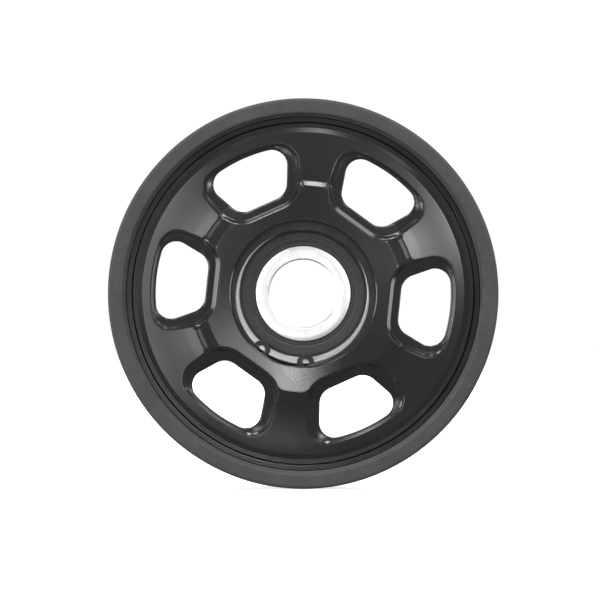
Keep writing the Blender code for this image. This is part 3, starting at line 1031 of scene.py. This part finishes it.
def make_world():
    """White surround for the camera. For the wheel, even light from the front half and less from behind."""
    world = bpy.data.worlds.new("studio")
    world.use_nodes = True
    nodes, links = world.node_tree.nodes, world.node_tree.links
    background = nodes["Background"]
    direction = nodes.new("ShaderNodeTexCoord")
    parts = nodes.new("ShaderNodeSeparateXYZ")
    links.new(direction.outputs["Generated"], parts.inputs["Vector"])
    surround = nodes.new("ShaderNodeMapRange")
    surround.inputs["From Min"].default_value = -SURROUND_BLEND
    surround.inputs["From Max"].default_value = SURROUND_BLEND
    surround.inputs["To Min"].default_value = FRONT_AMBIENT
    surround.inputs["To Max"].default_value = REAR_AMBIENT
    links.new(parts.outputs["Y"], surround.inputs["Value"])
    path = nodes.new("ShaderNodeLightPath")
    strength = nodes.new("ShaderNodeMapRange")
    strength.inputs["To Max"].default_value = BACKDROP
    links.new(path.outputs["Is Camera Ray"], strength.inputs["Value"])
    links.new(surround.outputs["Result"], strength.inputs["To Min"])
    links.new(strength.outputs["Result"], background.inputs["Strength"])
    background.inputs["Color"].default_value = (1.0, 1.0, 1.0, 1.0)
    bpy.context.scene.world = world


def softbox(name, around, off_axis, width, height, radiance):
    """Area light aimed at the wheel, at an angle around the camera's axis and an angle off it."""
    x, z = polar(math.sin(math.radians(off_axis)), around)
    away = Vector((x, -math.cos(math.radians(off_axis)), z))
    light = bpy.data.lights.new(name, "AREA")
    light.shape = "RECTANGLE"
    light.size = width
    light.size_y = height
    light.energy = radiance * math.pi * width * height
    lamp = bpy.data.objects.new(name, light)
    lamp.location = away * LIGHT_DISTANCE
    lamp.rotation_mode = "QUATERNION"
    lamp.rotation_quaternion = (-away).to_track_quat("-Z", "Y")
    lamp.visible_camera = False
    bpy.context.scene.collection.objects.link(lamp)


def make_lights():
    """Small boxes near the camera's axis for the flat faces, long ones at the sides for the edges."""
    softbox("low_spot", 261, 8.6, 0.05, 0.10, 68.0)
    softbox("low_middle", 245, 8.2, 0.08, 0.10, 5.0)
    softbox("low_left", 222, 8.0, 0.12, 0.12, 10.0)
    softbox("right_box", 24, 18.5, 0.18, 0.18, 15.0)
    softbox("right_upper", 46, 19, 0.16, 0.16, 3.0)
    softbox("left_upper", 146, 18.6, 0.18, 0.20, 8.0)
    softbox("left_middle", 174, 18, 0.20, 0.20, 5.0)
    softbox("left_lower", 204, 18.6, 0.18, 0.20, 6.0)
    softbox("top_bar", 84, 69, 0.26, 0.40, 18.0)
    softbox("top_bar_front", 84, 48, 0.20, 0.28, 7.0)
    softbox("top_right", 54, 84, 0.70, 0.50, 5.5)
    softbox("top_left", 114, 84, 0.60, 0.50, 1.4)
    softbox("right_side", 356, 84, 0.60, 0.70, 6.2)
    softbox("left_side", 176, 84, 0.60, 0.70, 5.4)
    softbox("left_front", 174, 65, 0.40, 0.60, 8.0)
    softbox("top_left_front", 114, 68, 0.50, 0.40, 11.0)
    softbox("top_right_front", 54, 60, 0.50, 0.40, 2.0)
    softbox("right_high", 24, 72, 0.24, 0.36, 3.5)
    softbox("left_high", 144, 72, 0.24, 0.36, 1.8)
    softbox("left_low", 204, 72, 0.24, 0.36, 2.2)
    softbox("rear_key", 40, 145, 0.90, 0.90, 6.5)
    softbox("rear_fill", 190, 150, 0.90, 0.90, 4.0)


def make_camera():
    """Square-on view of the front, the wheel a little above and right of the middle."""
    data = bpy.data.cameras.new("camera")
    data.sensor_width = 36.0
    data.lens = CAMERA_LENS
    data.clip_start = 0.05
    data.clip_end = 20.0
    camera = bpy.data.objects.new("camera", data)
    face = (TYRE_FRONT + AIM_DEPTH) * MM
    camera.location = (AIM_X * MM, face - CAMERA_DISTANCE, AIM_Z * MM)
    camera.rotation_euler = (math.radians(90), 0, 0)
    bpy.context.scene.collection.objects.link(camera)
    bpy.context.scene.camera = camera


# ---------------------------------------------------------------- assembly


def dress(piece, body, slot, finish, *nodes):
    """Put a new piece on its body, in place of CAD nodes."""
    piece.data.materials.clear()
    piece.data.materials.append(finish)
    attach(piece, body)
    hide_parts(*nodes)


def refinish(node, finish):
    """Give a CAD node its finish."""
    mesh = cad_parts[node].data
    if mesh.materials:
        for i in range(len(mesh.materials)):
            mesh.materials[i] = finish
    else:
        mesh.materials.append(finish)


def main():
    # Painted highlight: the inner ring's steel is coloured near-white (0.97), a brightened copy of the steel
    # the outer ring has at 0.47, so that its face shows as glare.
    inner_ring_steel_painted_highlight = ground_steel("ground_ring_steel_painted_highlight", (0.97, 0.97, 0.975), 0.25, 0.34)
    race_steel = ground_steel("ground_outer_ring_steel", (0.47, 0.47, 0.475), 0.24, 0.34)
    seal_finish = seal_rubber()
    dress(make_disc(), "wheel", "disc_nylon", nylon(), "wheel_disc")
    dress(make_tyre(), "wheel", "tyre_rubber", tyre_rubber(), "tyre")
    dress(make_circlip(), "wheel", "clip_steel", phosphated_steel(), "circlip")
    dress(make_outer_ring(), "wheel", "bearing_steel", race_steel, "bearing_outer_ring")
    dress(make_inner_ring(), "inner_ring", "bearing_steel", inner_ring_steel_painted_highlight, "bearing_inner_ring")
    dress(make_seal("front_seal", -1), "wheel", "seal_rubber", seal_finish, "seal_front")
    dress(make_seal("rear_seal", 1), "wheel", "seal_rubber", seal_finish, "seal_rear")

    sheet = sheet_steel()
    polished = ball_steel()
    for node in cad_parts:
        if node.startswith(("cage_", "seal_insert_")):
            refinish(node, sheet)
        elif node.startswith("ball_"):
            refinish(node, polished)

    make_floor()
    make_world()
    make_lights()
    make_camera()
    bpy.context.scene.view_settings.view_transform = "Standard"


main()
